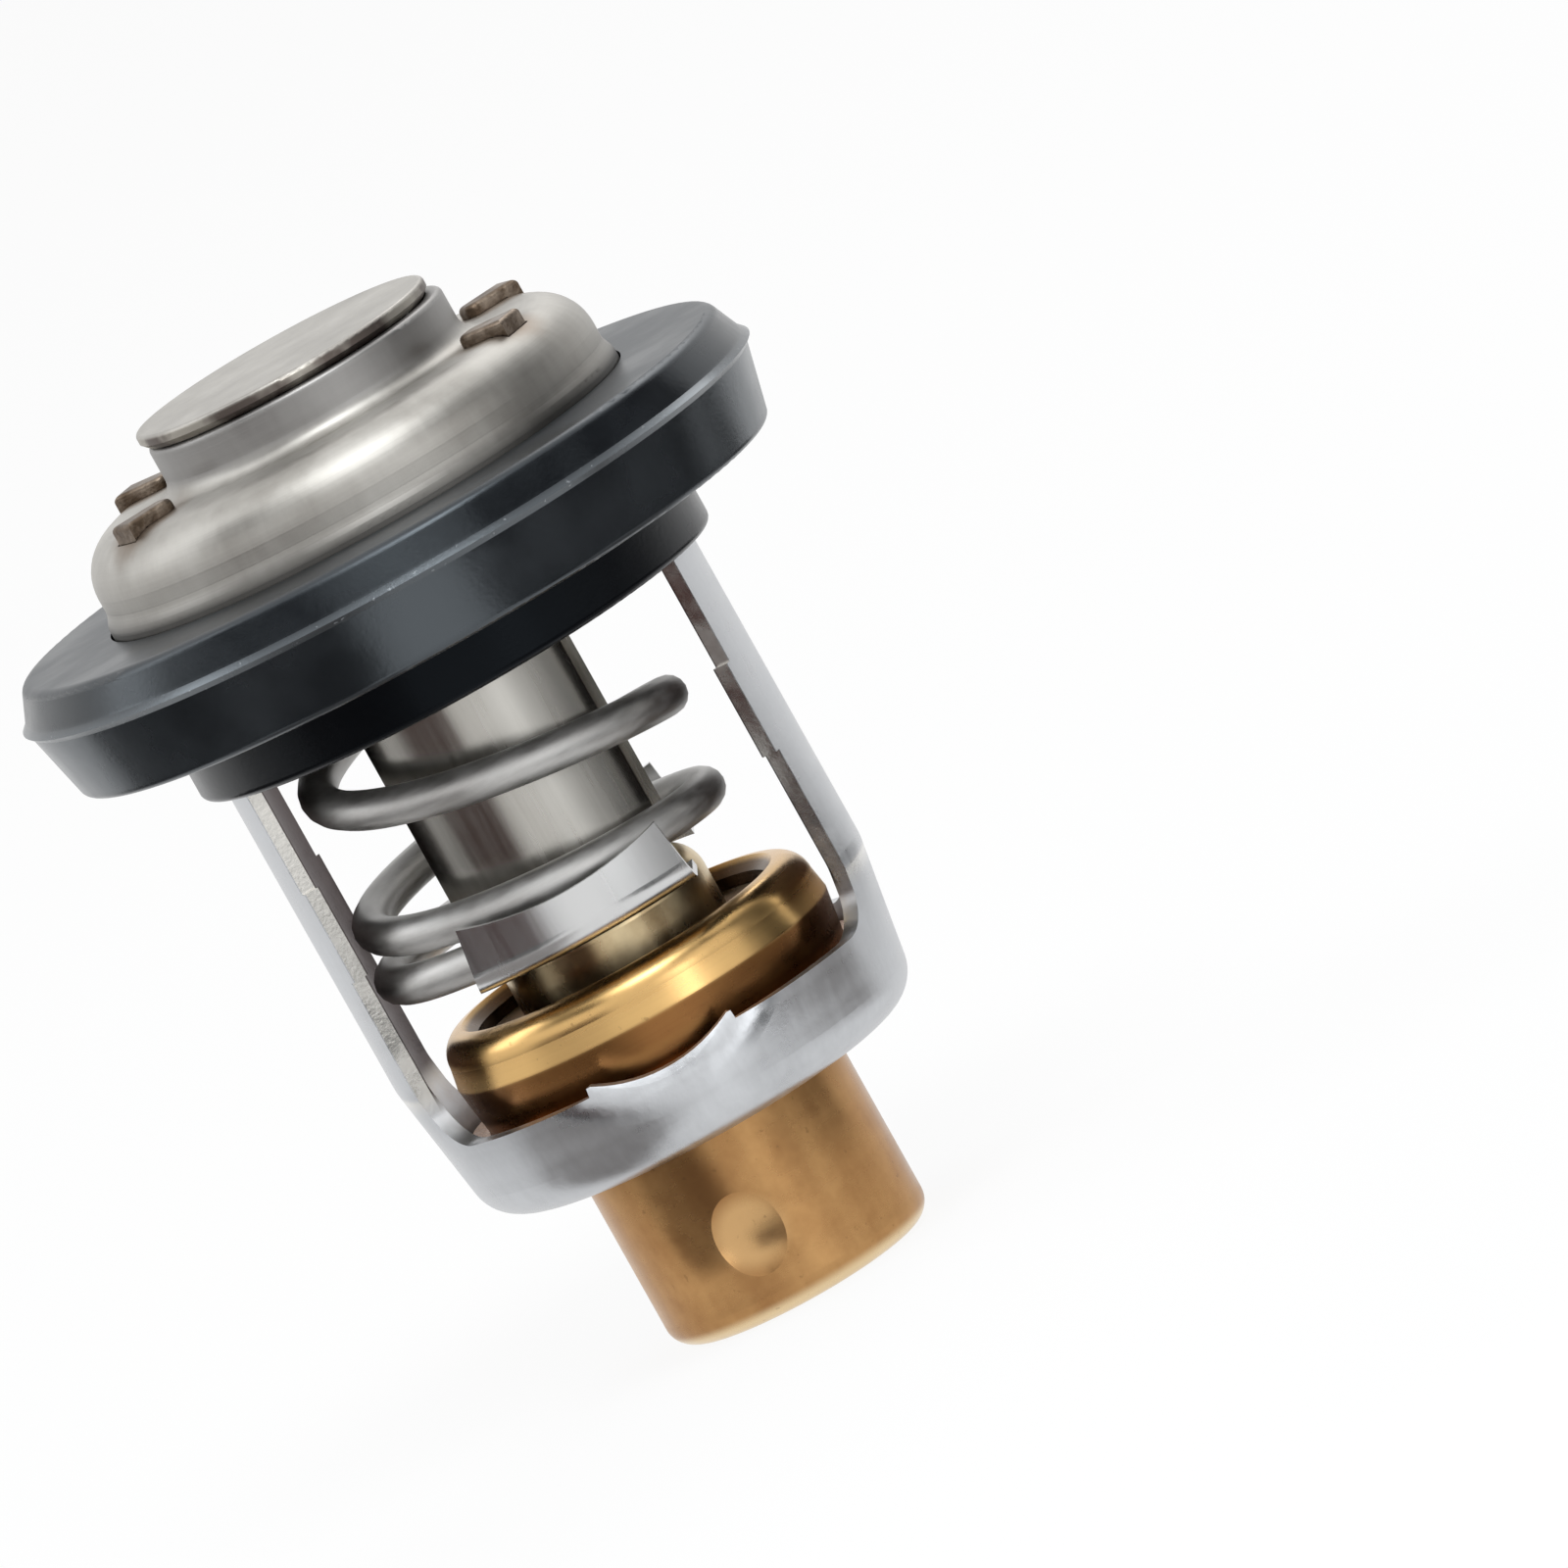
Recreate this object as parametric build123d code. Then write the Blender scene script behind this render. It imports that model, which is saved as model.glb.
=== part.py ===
from build123d import *
from math import atan, ceil, cos, degrees, hypot, pi, radians, sin, sqrt
import os

# Engine coolant thermostat: a wax element in a pressed frame lifts a disc valve off its seat flange.
# Millimetres, +Z along the axis from the wax bulb to the valve disc, origin on the bulb's end face.
# The frame legs stand on +X and -X, the spring hooks on +Y and -Y, and the front is -Y.

# Clearances
press_gap = 0.02        # faces that are pressed, staked or welded together
slip_gap = 0.1          # pieces slipped into one another at assembly
running_gap = 0.05      # piston, backup disc and plug in the guide's bore, on the radius
seat_gap = 0.05         # under the disc when the valve is closed
side_gap = 0.29         # carriage corner inside the flange neck
spring_gap = 0.05       # spring ends from their seats

# Side play
valve_offset = 0.38     # the loose valve hangs this far towards -X
spring_offset = 1.5     # and the spring's lower end, free between the legs, this far

# Frame
frame_sheet = 0.85
cup_draw = 1.23         # the cup's base is narrower than the legs by this
cup_corner = 2.2
cup_depth = 4.86        # underside to rim
flare_height = 8.1      # underside to where the legs become upright
flare_bend = 5.0
leg_radius = 12.98
leg_angle = 23.5        # half the angle that a leg takes up
root_corner = 2.0
waist_angle = 25.2      # the wider length half-way up each leg
waist_low = 14.5        # its ends, above the underside of the cup
waist_high = 19.45
head_angle = 38.0       # the leg's head, inside the flange
head_drop = 9.4         # its length below the top
frame_height = 37.0     # underside of the cup to the top of the heads
prong_turn = 29.0       # prongs stand this far to each side of a leg's middle
prong_angle = 4.6
prong_step = 0.6        # prongs come up this far inside the legs
prong_reach = 3.0       # length of the bent-over end
prong_thick = 0.6       # hammered thinner than the sheet
prong_edge = 0.3
prong_corner = 0.55
crimp_angle = 19.5
crimp_root = 3.2        # where the crimps begin to lean, above the underside of the cup
crimp_peak = 5.3
crimp_dip = 4.4
crimp_lean = 0.95
crimp_bend = 3.0

# Seat flange
flange_sheet = 0.75
neck_height = 2.65
neck_foot = 0.9
neck_edge = 0.3
dome_corner = 2.6
wall_height = 5.8       # shoulder to the top of the rim
wall_step = 0.28        # step out near the foot of the wall
step_level = 3.55       # below the shoulder
step_height = 0.6
step_bend = 0.85
wall_foot = 0.3
rim_width = 3.49        # rim beyond the foot of the wall

# Seal ring
seal_lip = 1.2          # rubber above the flange rim
seal_mouth = 0.12       # clearance of the lip around the flange wall
seal_top_cover = 1.6    # rubber outside the rim: at the top, the mould line and the base
mould_line_cover = 2.67
seal_base_cover = 1.5
mould_ridge = 0.3
mould_line_level = 0.85  # below the top of the rim
seal_base_level = 4.9
seal_top_edge = 0.6
seal_base_edge = 0.45
seal_neck_wall = 1.1
seal_neck = 3.1
seal_neck_edge = 0.4

# Wax case
cup_floor = 4.59        # the cup's base is wider than the bulb by this
bulb_length = 9.9       # end face to the underside of the frame cup
bulb_edge = 1.25
bulb_gap = 0.1          # in the hole of the cup
case_wall = 0.85
foot_edge = 1.6
collar_gap = 0.12       # collar inside the tips of the crimps
collar_waist = 0.36     # collar narrower above the foot
collar_bulge = 5.85     # foot's underside to the collar's widest line
collar_height = 8.42    # foot's underside to the crest of the rolled lip
lip_roll = 1.45
lip_thick = 1.2         # crest to the guide
lip_end = 0.6           # inner end of the lip inside its crest
lip_inset = 1.65        # crest of the lip inside the collar's widest line
lip_hold = 0.9          # how far the lip reaches in over the guide
ledge = 1.0             # that the diaphragm's rim lies on
dimple_height = 4.4
dimple_depth = 0.55
dimple_level = 4.45
dimple_turn = -6.7      # degrees from the front, towards +X

# Guide, diaphragm and piston
guide_flange = 2.4
guide_dish = 1.3        # hollow around the neck
guide_gap = 0.73        # neck inside the carriage
guide_neck_height = 4.35
guide_round = 0.91      # rounding of the shoulder, as a share of its width
guide_nose_share = 0.47  # of the way from the bore to the outside of the neck
guide_nose_height = 12.0
guide_nose_edge = 0.34  # as a share of the nose's wall
guide_mouth = 1.3       # countersink under the bore
diaphragm_thick = 1.2
boss_rise = 1.1
piston_radius = 1.9
piston_edge = 0.4
plug_length = 4.0
backup_thick = 0.8

# Valve disc and carriage
disc_inset = 0.15       # edge of the disc inside the outside of the neck
disc_thick = 0.8
disc_top_edge = 0.22
disc_low_edge = 0.3
carriage_sheet = 0.4
carriage_gap = 1.25     # inside the spring
carriage_angle = 53.27  # half the angle that a leg takes up
hook_level = 2.13       # underside of the hooks above the crest of the case
crown_bend = 1.0
crown_height = 1.7
leg_end_corner = 2.4
hook_ear = 0.55         # hooks wider than the legs, on each side
hook_taper = 0.5
hook_height = 3.55
hook_hollow = 0.7
hook_inner_bend = 0.5
hook_outer_bend = 0.8

# Return spring
wire_diameter = 2.0
leg_gap = 0.58          # between the coil and the nearer frame leg
coil_gap = 0.08         # between the closed end coils
spring_end_turn = 25.0  # degrees from the front to the wire's lower end, towards -X
arcs_per_turn = 8

# Frame levels and radii
cup_base_radius = leg_radius - cup_draw
cup_z = bulb_length
floor_z = cup_z + frame_sheet
rim_z = cup_z + cup_depth
head_top_z = cup_z + frame_height
flare_slope = (leg_radius - cup_base_radius) / flare_height
flare_sheet = frame_sheet * hypot(1, flare_slope)
crimp_root_z = cup_z + crimp_root
crimp_peak_z = cup_z + crimp_peak
crimp_dip_z = cup_z + crimp_dip
crimp_root_radius = cup_base_radius + flare_slope * crimp_root
crimp_tip_radius = crimp_root_radius - crimp_lean
cup_inner = cup_base_radius + flare_slope * frame_sheet - flare_sheet

# Coil and carriage radii
spring_radius = leg_radius - frame_sheet - spring_offset - leg_gap
carriage_radius = spring_radius - wire_diameter - carriage_gap
carriage_half_width = carriage_radius * sin(radians(carriage_angle))
carriage_edge = carriage_radius * cos(radians(carriage_angle))

# Flange levels and radii
wall_radius = leg_radius + slip_gap + flange_sheet
head_bend = dome_corner - flange_sheet
head_room = sqrt(2 * head_bend * slip_gap - slip_gap ** 2)
shoulder_z = head_top_z + slip_gap - head_room + dome_corner
ceiling_z = shoulder_z - flange_sheet
seat_z = shoulder_z + neck_height
rim_top_z = shoulder_z - wall_height
rim_low_z = rim_top_z - flange_sheet
step_z = shoulder_z - step_level
step_radius = wall_radius + wall_step
rim_radius = step_radius + rim_width
neck_bore = hypot(carriage_half_width + valve_offset, carriage_edge) + side_gap
neck_radius = neck_bore + flange_sheet
prong_radius = leg_radius - prong_step
prong_top_z = shoulder_z + press_gap + prong_thick

# Wax case levels and radii
bulb_radius = cup_base_radius - cup_floor
foot_radius = cup_inner - slip_gap
crimp_slope = crimp_lean / (crimp_peak - crimp_root)
crimp_tilt = degrees(atan(crimp_slope))
crimp_sheet = flare_sheet * cos(radians(crimp_tilt))
foot_top_z = crimp_root_z + (crimp_root_radius - flare_sheet - foot_radius - press_gap) / crimp_slope
collar_radius = crimp_tip_radius - flare_sheet - collar_gap
collar_base_radius = collar_radius - collar_waist
bulge_z = floor_z + collar_bulge
crest_z = floor_z + collar_height
crest_radius = collar_radius - lip_inset
lip_z = crest_z - lip_thick
guide_radius = crest_radius - lip_end + lip_hold
case_bore = guide_radius + press_gap
guide_top_z = lip_z - press_gap
guide_low_z = guide_top_z - guide_flange
diaphragm_low_z = guide_low_z - press_gap - diaphragm_thick
ledge_z = diaphragm_low_z - press_gap
bulb_bore = bulb_radius - case_wall
chamber_radius = case_bore - ledge
chamber_low_z = floor_z + case_wall

# Valve levels and radii
disc_z = seat_z + seat_gap
disc_radius = neck_radius - disc_inset
crown_z = disc_z - carriage_sheet
hook_z = crest_z + hook_level
web_z = hook_z + carriage_sheet
hook_top_z = hook_z + hook_height
hook_half_width = carriage_half_width + hook_ear
hook_sweep = hook_half_width / spring_radius
hook_inner = spring_radius + (spring_offset - valve_offset) * hook_sweep + slip_gap
bore_radius = piston_radius + running_gap
guide_neck_radius = carriage_radius - carriage_sheet - guide_gap
guide_nose_radius = bore_radius + guide_nose_share * (guide_neck_radius - bore_radius)
plug_z = guide_low_z + boss_rise
backup_z = plug_z + plug_length + press_gap
piston_z = backup_z + backup_thick + press_gap
far = 4 * leg_radius


def turned(*corners):
    # A solid of revolution from the corners (radius, height) of its section.
    return revolve(Plane.XZ * make_face(Polyline(*corners, close=True)), Axis.Z)


def turned_sheet(corners, bends, thickness):
    # A bent sheet turned about the axis, lying to the right of a line through the corners of one face.
    line = FilletPolyline(*corners, radius=bends)
    return revolve(Plane.XZ * make_face(offset(line, thickness, side=Side.RIGHT)), Axis.Z)


def wedge(turn, half_angle, low, high, inner=0.0, outer=far):
    # A sector about the axis, centred on the direction turn, between two radii and two levels.
    section = Pos((inner + outer) / 2, (low + high) / 2) * Rectangle(outer - inner, high - low)
    return Rot(Z=turn - half_angle) * revolve(Plane.XZ * section, Axis.Z, 2 * half_angle)


def ring_edge(shape, radius, level):
    # The circular edge nearest to a radius and a level.
    rings = shape.edges().filter_by(GeomType.CIRCLE)
    return min(rings, key=lambda edge: hypot(edge.radius - radius, edge.arc_center.Z - level))


def round_ring(shape, radius, level, size):
    return fillet(ring_edge(shape, radius, level), size)


def front_cut(outline):
    # An outline in the front view, carried right through the part.
    return extrude(Plane.XZ * outline, far, both=True)


def save(node, shape):
    export_step(shape, os.path.join("parts", node + ".step"))
    print(node, round(shape.volume, 2))


def make_frame():
    # One pressing: cup, two legs with a wider waist, heads with prongs, two crimps over the wax case.
    hole = bulb_radius + bulb_gap
    corners = [(leg_radius, head_top_z), (leg_radius, cup_z + flare_height)]
    corners += [(cup_base_radius, cup_z), (hole, cup_z)]
    frame = turned_sheet(corners, [flare_bend, cup_corner], frame_sheet)
    for turn in (-90, 90):
        frame -= make_window(turn)
    for turn in (0, 180):
        for side in (-prong_turn, prong_turn):
            frame += make_prong(turn + side)
    for turn in (-90, 90):
        frame = add_crimp(frame, turn)
    return frame


def make_window(turn):
    # The gap between the legs, with rounded lower corners, around the waists and heads that stand in it.
    window = wedge(turn, 90 - leg_angle, rim_z, far, bulb_radius)
    lines = window.edges().filter_by(GeomType.LINE)
    window = fillet(lines.group_by(Axis.Z)[0], root_corner)
    for side in (0, 180):
        window -= wedge(side, waist_angle, cup_z + waist_low, cup_z + waist_high)
        window -= wedge(side, head_angle, head_top_z - head_drop, head_top_z)
    return window


def make_prong(turn):
    # An ear that steps in, comes up through the flange and is hammered flat over its shoulder.
    tip = prong_radius - prong_reach
    ear = turned(
        (tip, prong_top_z),
        (prong_radius, prong_top_z),
        (prong_radius, head_top_z + prong_step),
        (leg_radius, head_top_z),
        (leg_radius, head_top_z - frame_sheet),
        (leg_radius - frame_sheet, head_top_z - frame_sheet),
        (leg_radius - frame_sheet, head_top_z - prong_step),
        (prong_radius - frame_sheet, head_top_z),
        (prong_radius - frame_sheet, prong_top_z - prong_thick),
        (tip, prong_top_z - prong_thick),
    )
    ear &= wedge(0, prong_angle, cup_z, far)
    uprights = ear.edges().filter_by(Axis.Z)
    ear = fillet(uprights.group_by(Axis.X)[0], prong_corner)
    ear = fillet(ear.edges().group_by(Axis.Z)[-1], prong_edge)
    return Rot(Z=turn) * ear


def add_crimp(frame, turn):
    # A stretch of the rim pressed flat over the foot of the wax case, its edge hollow between two peaks.
    place = Rot(Z=turn) * Pos(crimp_root_radius, 0, crimp_root_z) * Rot(Y=-crimp_tilt)
    press = place * Pos(far / 2, 0, 0) * Box(far, far, 4 * (crimp_peak - crimp_root))
    inside = place * Pos(-far / 2 - crimp_sheet, 0, 0) * Box(far, far, far)
    reach = wedge(turn, crimp_angle, crimp_root_z, far)
    outer = crimp_root_radius - press_gap
    tab = wedge(turn, crimp_angle, crimp_root_z, crimp_peak_z, 0, outer) - inside
    half_width = crimp_tip_radius * sin(radians(crimp_angle))
    arc = ThreePointArc((-half_width, crimp_peak_z), (0, crimp_dip_z), (half_width, crimp_peak_z))
    above = Polyline(arc @ 1, (half_width, far), (-half_width, far), arc @ 0)
    hollow = front_cut(make_face([arc, above])) & reach
    frame = frame + tab - press - hollow
    crease = frame.edges().sort_by_distance(place.position)[0]
    return fillet(crease, crimp_bend)


def make_flange():
    # Drawn sheet: valve seat neck, domed shoulder, stepped wall and the rim that carries the seal.
    corners = [(neck_radius, seat_z), (neck_radius, shoulder_z), (wall_radius, shoulder_z)]
    corners += [(wall_radius, step_z), (step_radius, step_z - step_height)]
    corners += [(step_radius, rim_top_z), (rim_radius, rim_top_z)]
    bends = [neck_foot, dome_corner, step_bend, step_bend, wall_foot]
    flange = turned_sheet(corners, bends, flange_sheet)
    flange = round_ring(flange, neck_radius, seat_z, neck_edge)
    slot_angle = prong_angle + slip_gap / radians(prong_radius)
    inner = prong_radius - frame_sheet - slip_gap
    outer = prong_radius + slip_gap
    for turn in (0, 180):
        for side in (-prong_turn, prong_turn):
            flange -= wedge(turn + side, slot_angle, head_top_z, prong_top_z, inner, outer)
    return flange


def make_seal():
    # Moulded rubber ring, sprung over the flange rim, with a mould line round its widest part.
    mouth = step_radius + seal_mouth
    bore = leg_radius + slip_gap
    neck = bore + seal_neck_wall
    top_z = rim_top_z + seal_lip
    base_z = rim_top_z - seal_base_level
    neck_z = base_z - seal_neck
    line_z = rim_top_z - mould_line_level
    top = rim_radius + seal_top_cover
    line = rim_radius + mould_line_cover
    base = rim_radius + seal_base_cover
    groove = rim_radius + press_gap
    seal = turned(
        (mouth, top_z),
        (top, top_z),
        (line - mould_ridge, line_z + mould_ridge),
        (line, line_z),
        (line - mould_ridge, line_z - mould_ridge),
        (base, base_z),
        (neck, base_z),
        (neck, neck_z),
        (bore, neck_z),
        (bore, rim_low_z - press_gap),
        (groove, rim_low_z - press_gap),
        (groove, rim_top_z + press_gap),
        (mouth + wall_foot, rim_top_z + press_gap),
        (mouth, rim_top_z + press_gap + wall_foot),
    )
    seal = round_ring(seal, top, top_z, seal_top_edge)
    seal = round_ring(seal, base, base_z, seal_base_edge)
    return round_ring(seal, neck, neck_z, seal_neck_edge)


def make_case():
    # Brass cup: bulb below the frame, foot under the crimps, and a collar rolled in over the guide.
    outside = Polyline(
        (0, case_wall),
        (0, 0),
        (bulb_radius, 0),
        (bulb_radius, floor_z),
        (foot_radius, floor_z),
        (foot_radius, foot_top_z),
        (collar_base_radius, foot_top_z),
        (collar_radius, bulge_z),
        (crest_radius + lip_roll, crest_z - lip_roll),
    )
    roll = RadiusArc(outside @ 1, (crest_radius, crest_z), -lip_roll)
    inside = Polyline(
        (crest_radius, crest_z),
        (crest_radius - lip_end, crest_z - lip_thick / 2),
        (crest_radius - lip_end, lip_z),
        (case_bore, lip_z),
        (case_bore, ledge_z),
        (chamber_radius, ledge_z),
        (chamber_radius, chamber_low_z),
        (bulb_bore, chamber_low_z),
        (bulb_bore, case_wall),
        (0, case_wall),
    )
    case = revolve(Plane.XZ * make_face([outside, roll, inside]), Axis.Z)
    case = round_ring(case, bulb_radius, 0, bulb_edge)
    case = round_ring(case, foot_radius, floor_z, foot_edge)
    ball = (dimple_height ** 2 / 4 + dimple_depth ** 2) / (2 * dimple_depth)
    reach = bulb_radius - dimple_depth + ball
    return case - Rot(Z=dimple_turn) * Pos(0, -reach, dimple_level) * Sphere(ball)


def make_wax():
    # The charge fills the bulb and the chamber under the diaphragm.
    return turned(
        (0, case_wall + press_gap),
        (bulb_bore - press_gap, case_wall + press_gap),
        (bulb_bore - press_gap, chamber_low_z + press_gap),
        (chamber_radius - press_gap, chamber_low_z + press_gap),
        (chamber_radius - press_gap, ledge_z),
        (0, ledge_z),
    )


def make_diaphragm():
    # Rubber disc with a conical boss under the bore of the guide.
    top_z = guide_low_z - press_gap
    return turned(
        (0, diaphragm_low_z),
        (guide_radius, diaphragm_low_z),
        (guide_radius, top_z),
        (bore_radius + guide_mouth - slip_gap, top_z),
        (piston_radius - slip_gap, top_z + boss_rise),
        (0, top_z + boss_rise),
    )


def make_guide():
    # Turned brass guide: flange under the rolled lip, neck, and a nose that the piston slides in.
    neck_top_z = guide_top_z + guide_neck_height
    nose_top_z = neck_top_z + guide_nose_height
    guide = turned(
        (bore_radius + guide_mouth, guide_low_z),
        (guide_radius, guide_low_z),
        (guide_radius, guide_top_z),
        (guide_radius - lip_hold, guide_top_z),
        (guide_neck_radius, guide_top_z - guide_dish),
        (guide_neck_radius, neck_top_z),
        (guide_nose_radius, neck_top_z),
        (guide_nose_radius, nose_top_z),
        (bore_radius, nose_top_z),
        (bore_radius, guide_low_z + guide_mouth),
    )
    shoulder = guide_round * (guide_neck_radius - guide_nose_radius)
    edge = guide_nose_edge * (guide_nose_radius - bore_radius)
    guide = round_ring(guide, guide_neck_radius, neck_top_z, shoulder)
    return round_ring(guide, guide_nose_radius, nose_top_z, edge)


def make_pin(low, high):
    return turned((0, low), (piston_radius, low), (piston_radius, high), (0, high))


def make_piston():
    top_z = crown_z - press_gap
    piston = make_pin(piston_z, top_z)
    return round_ring(piston, piston_radius, top_z, piston_edge)


def make_disc():
    top_z = disc_z + disc_thick
    disc = turned((0, disc_z), (disc_radius, disc_z), (disc_radius, top_z), (0, top_z))
    disc = round_ring(disc, disc_radius, top_z, disc_top_edge)
    disc = chamfer(ring_edge(disc, disc_radius, disc_z), disc_low_edge)
    return Pos(-valve_offset, 0, 0) * disc


def make_carriage():
    # Drawn cup with open sides: its two legs hang through the neck and end in hooks for the spring.
    corners = [(0, disc_z), (carriage_radius, disc_z), (carriage_radius, web_z)]
    corners += [(hook_inner, web_z), (hook_inner, hook_top_z)]
    shell = turned_sheet(corners, [crown_bend, hook_inner_bend, hook_outer_bend], carriage_sheet)
    window_low = hook_z - carriage_sheet
    window_high = disc_z - crown_height
    window = Box(far, 2 * carriage_edge, window_high - window_low)
    shell -= Pos(0, 0, (window_low + window_high) / 2) * window
    split = wedge(0, 180, 0, disc_z, 0, carriage_radius + 2 * hook_inner_bend)
    length = disc_z - hook_z
    leg_face = Pos(0, hook_z + length / 2) * Rectangle(2 * carriage_half_width, length)
    leg_face = fillet(leg_face.vertices().group_by(Axis.Y)[0], leg_end_corner)
    crown = wedge(0, 180, disc_z - crown_height, disc_z)
    legs = (shell & split) & (front_cut(leg_face) + crown)
    hooks = (shell - split) & front_cut(hook_face())
    return Pos(-valve_offset, 0, 0) * (legs + hooks)


def hook_face():
    # Front view of a hook: sides that draw in towards a hollow top edge.
    top = hook_half_width - hook_taper
    hollow = ThreePointArc((-top, hook_top_z), (0, hook_top_z - hook_hollow), (top, hook_top_z))
    sides = Polyline(hollow @ 1, (hook_half_width, hook_z), (-hook_half_width, hook_z), hollow @ 0)
    return make_face([hollow, sides])


def make_spring():
    # Left-hand coil of tangent arcs. Its pitch grows from nothing at each closed end to its most
    # half-way up, and its lower half leans to one side.
    half_wire = wire_diameter / 2
    coil = spring_radius - half_wire
    low = web_z + spring_gap + half_wire
    rise = ceiling_z - spring_gap - half_wire - low
    turns = sqrt(2 * rise / (wire_diameter + coil_gap))
    steps = ceil(turns * arcs_per_turn)
    start = radians(-90 - spring_end_turn)
    points = []
    for step in range(steps + 1):
        along = step / steps
        eased = 2 * along ** 2 if along < 0.5 else 1 - 2 * (1 - along) ** 2
        angle = start - 2 * pi * turns * along
        lean = spring_offset * max(0.0, 1 - 2 * eased)
        points.append((coil * cos(angle) - lean, coil * sin(angle), low + rise * eased))
    heading = Vector(sin(start), -cos(start), 0)
    arcs = []
    for here, there in zip(points, points[1:]):
        arcs.append(TangentArc(here, there, tangent=heading))
        heading = arcs[-1] % 1
    path = Wire(arcs)
    section = Plane(origin=path @ 0, z_dir=path % 0) * Circle(half_wire)
    return sweep(section, path=path)


os.makedirs("parts", exist_ok=True)
save("frame", make_frame())
save("seat_flange", make_flange())
save("seal_ring", make_seal())
save("wax_case", make_case())
save("wax_charge", make_wax())
save("diaphragm", make_diaphragm())
save("guide_bush", make_guide())
save("rubber_plug", make_pin(plug_z, plug_z + plug_length))
save("backup_disc", make_pin(backup_z, backup_z + backup_thick))
save("lift_piston", make_piston())
save("valve_disc", make_disc())
save("valve_carriage", make_carriage())
save("return_spring", make_spring())
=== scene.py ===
import math

import bpy
from mathutils import Matrix, Vector


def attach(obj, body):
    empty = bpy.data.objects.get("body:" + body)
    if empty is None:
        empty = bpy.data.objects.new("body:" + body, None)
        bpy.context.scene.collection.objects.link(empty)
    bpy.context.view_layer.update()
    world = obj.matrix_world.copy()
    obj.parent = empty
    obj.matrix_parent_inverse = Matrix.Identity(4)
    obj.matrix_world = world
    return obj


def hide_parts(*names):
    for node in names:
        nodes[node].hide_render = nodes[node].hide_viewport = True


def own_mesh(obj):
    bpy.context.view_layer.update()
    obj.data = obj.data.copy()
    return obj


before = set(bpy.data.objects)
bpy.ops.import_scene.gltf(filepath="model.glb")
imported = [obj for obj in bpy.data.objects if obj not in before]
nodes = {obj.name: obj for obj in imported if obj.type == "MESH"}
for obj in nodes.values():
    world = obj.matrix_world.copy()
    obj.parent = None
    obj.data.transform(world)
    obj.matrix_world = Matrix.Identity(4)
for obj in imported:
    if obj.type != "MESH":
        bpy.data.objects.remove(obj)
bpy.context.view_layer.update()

mm = 0.001
scene = bpy.context.scene
scene.view_settings.view_transform = "Standard"


def clearSelection():
    if bpy.context.mode != "OBJECT":
        bpy.ops.object.mode_set(mode="OBJECT")
    bpy.ops.object.select_all(action="DESELECT")


def metres(values):
    return [value * mm for value in values]


# finish building: patterns on Object coordinates in metres, the looks' places in mm
def startFinish(name, metallic=0.0, roughness=0.5):
    finish = bpy.data.materials.new(name)
    finish.use_nodes = True
    tree = finish.node_tree
    shader = tree.nodes["Principled BSDF"]
    shader.inputs["Metallic"].default_value = metallic
    shader.inputs["Roughness"].default_value = roughness
    where = tree.nodes.new("ShaderNodeTexCoord").outputs["Object"]
    return finish, tree, shader, where


def stretch(tree, where, scale):
    node = tree.nodes.new("ShaderNodeMapping")
    node.inputs["Scale"].default_value = scale
    tree.links.new(where, node.inputs["Vector"])
    return node.outputs["Vector"]


def noise(tree, where, scale, detail=3.0, rough=0.55):
    node = tree.nodes.new("ShaderNodeTexNoise")
    node.inputs["Scale"].default_value = scale
    node.inputs["Detail"].default_value = detail
    node.inputs["Roughness"].default_value = rough
    tree.links.new(where, node.inputs["Vector"])
    return node.outputs["Fac"]


def sums(tree, kind, *values):
    node = tree.nodes.new("ShaderNodeMath")
    node.operation = kind
    for socket, value in zip(node.inputs, values):
        if isinstance(value, (int, float)):
            socket.default_value = value
        else:
            tree.links.new(value, socket)
    return node.outputs["Value"]


def weighted(tree, values, shares):
    parts = [sums(tree, "MULTIPLY", value, share) for value, share in zip(values, shares)]
    total = parts[0]
    for part in parts[1:]:
        total = sums(tree, "ADD", total, part)
    return total


def between(tree, value, low, high, toLow=0.0, toHigh=1.0):
    node = tree.nodes.new("ShaderNodeMapRange")
    node.interpolation_type = "SMOOTHSTEP"
    node.inputs["From Min"].default_value = low
    node.inputs["From Max"].default_value = high
    node.inputs["To Min"].default_value = toLow
    node.inputs["To Max"].default_value = toHigh
    tree.links.new(value, node.inputs["Value"])
    return node.outputs["Result"]


def shades(tree, value, places, colours):
    node = tree.nodes.new("ShaderNodeValToRGB")
    for element, place, colour in zip(node.color_ramp.elements, places, colours):
        element.position = place
        element.color = (*colour, 1.0)
    tree.links.new(value, node.inputs["Fac"])
    return node.outputs["Color"]


def blendColours(tree, share, first, second):
    node = tree.nodes.new("ShaderNodeMix")
    node.data_type = "RGBA"
    tree.links.new(share, node.inputs[0])
    for socket, value in ((node.inputs[6], first), (node.inputs[7], second)):
        if isinstance(value, tuple):
            socket.default_value = (*value, 1.0)
        else:
            tree.links.new(value, socket)
    return node.outputs[2]


def relief(tree, shader, height, depth):
    node = tree.nodes.new("ShaderNodeBump")
    node.inputs["Strength"].default_value = 1.0
    node.inputs["Distance"].default_value = depth * mm
    tree.links.new(height, node.inputs["Height"])
    tree.links.new(node.outputs["Normal"], shader.inputs["Normal"])


def partsOf(tree, where):
    node = tree.nodes.new("ShaderNodeSeparateXYZ")
    tree.links.new(where, node.inputs["Vector"])
    return node.outputs["X"], node.outputs["Y"], node.outputs["Z"]


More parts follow.
